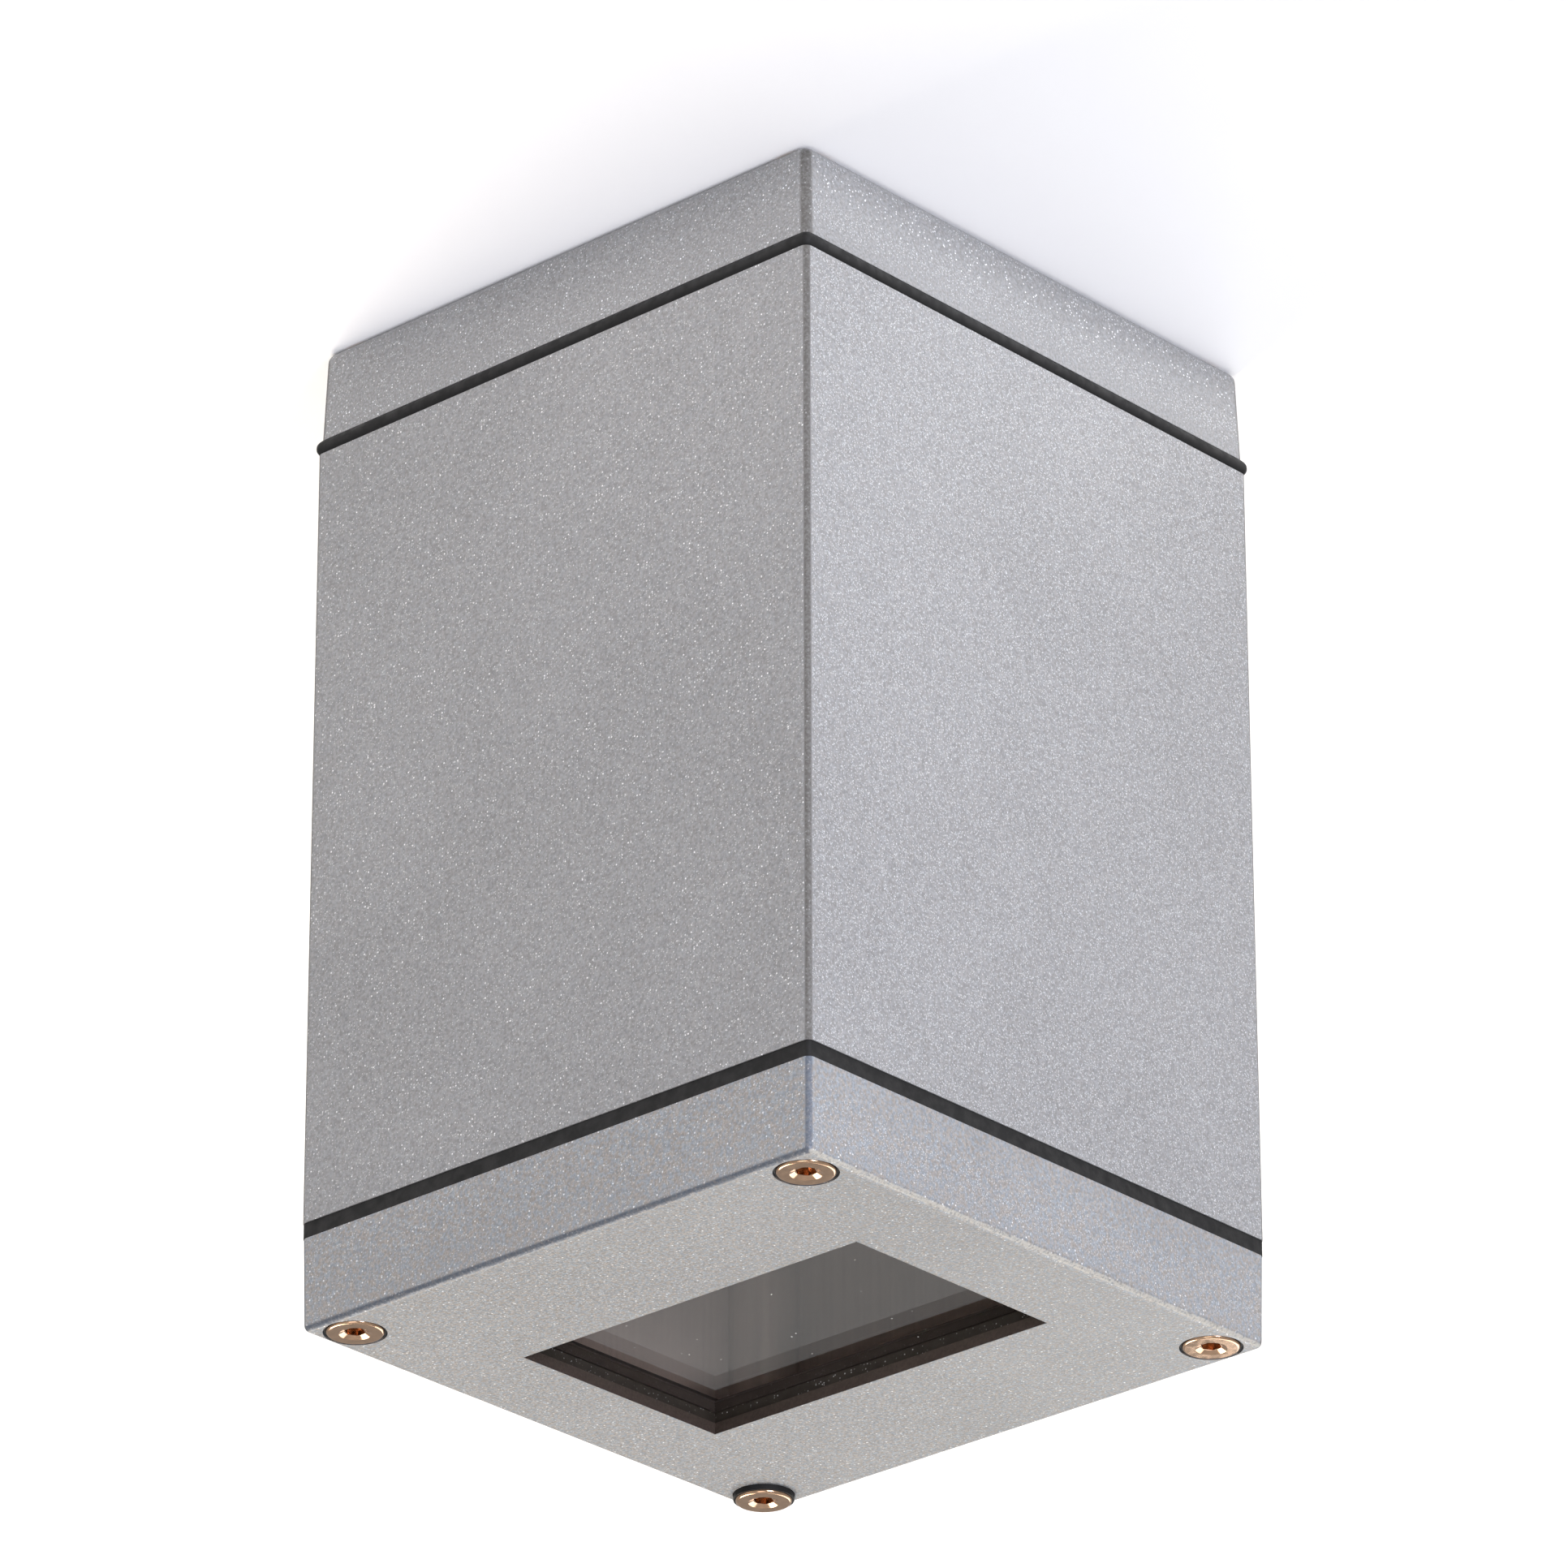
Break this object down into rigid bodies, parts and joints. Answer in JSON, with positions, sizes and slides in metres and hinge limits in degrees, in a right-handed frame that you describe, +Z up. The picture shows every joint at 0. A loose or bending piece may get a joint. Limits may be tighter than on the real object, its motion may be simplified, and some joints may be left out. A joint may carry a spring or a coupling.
{
  "type": "outdoor ceiling lantern",
  "caption": "Square box-shaped outdoor ceiling lantern: coated metal housing with rubber gaskets, glazed bezel facing down, lampholder and lamp inside.",
  "frame": {"origin": "centre of the face that lies against the ceiling", "axes": "+Z up into the ceiling; +X along the longer side of the glass; +Y along its shorter side"},
  "size_m": [0.1108, 0.1108, 0.1777],
  "materials": {
    "housing_coat": "silver-grey metallic textured powder coat",
    "seal_rubber": "matt black rubber",
    "window_glass": "clear toughened glass",
    "stainless_screws": "bright stainless steel",
    "zinc_steel": "zinc-plated sheet",
    "zinc_screws": "zinc-plated",
    "porcelain": "glazed white porcelain",
    "contact_brass": "plain brass",
    "block_plastic": "ivory moulded plastic",
    "brown_insulation": "brown wire insulation",
    "blue_insulation": "blue wire insulation",
    "green_yellow_insulation": "green and yellow wire insulation",
    "opal_globe": "opal diffuser",
    "bulb_housing": "white moulded plastic",
    "bulb_cap_metal": "nickel-plated screw cap",
    "bulb_black": "black insulator",
    "bulb_solder": "solder"
  },
  "bodies": {
    "housing": {"base_cap": "housing_coat", "body_extrusion": "housing_coat", "top_gasket": "seal_rubber", "bottom_gasket": "seal_rubber", "cable_grommet": "seal_rubber", "base_screws": "stainless_screws", "holder_bracket": "zinc_steel", "bracket_screws": "zinc_screws", "lampholder_screws": "zinc_screws", "terminal_block_screws": "zinc_screws", "terminal_screws": "zinc_screws", "earth_screw": "zinc_screws", "lampholder_body": "porcelain", "lampholder_shell": "contact_brass", "lampholder_contact": "contact_brass", "lampholder_terminals": "contact_brass", "terminal_clamps": "contact_brass", "earth_tag": "contact_brass", "terminal_block": "block_plastic", "live_wire": "brown_insulation", "neutral_wire": "blue_insulation", "earth_wire": "green_yellow_insulation"},
    "cover": {"bezel": "housing_coat", "glass_seal": "seal_rubber", "glass": "window_glass", "glass_retainer": "zinc_steel", "retainer_screws": "zinc_screws", "cover_screws": "stainless_screws", "screw_seals": "seal_rubber"},
    "bulb": {"bulb_globe": "opal_globe", "bulb_collar": "bulb_housing", "bulb_cap": "bulb_cap_metal", "bulb_insulator": "bulb_black", "bulb_contact": "bulb_solder"}
  },
  "joints": [
    {"name": "cover_drop", "type": "slide", "parent": "housing", "child": "cover", "axis": [0, 0, -1], "range_m": [0, 0.06]},
    {"name": "bulb_unscrew", "type": "slide", "parent": "housing", "child": "bulb", "axis": [0, 0, -1], "range_m": [0, 0.025]}
  ]
}
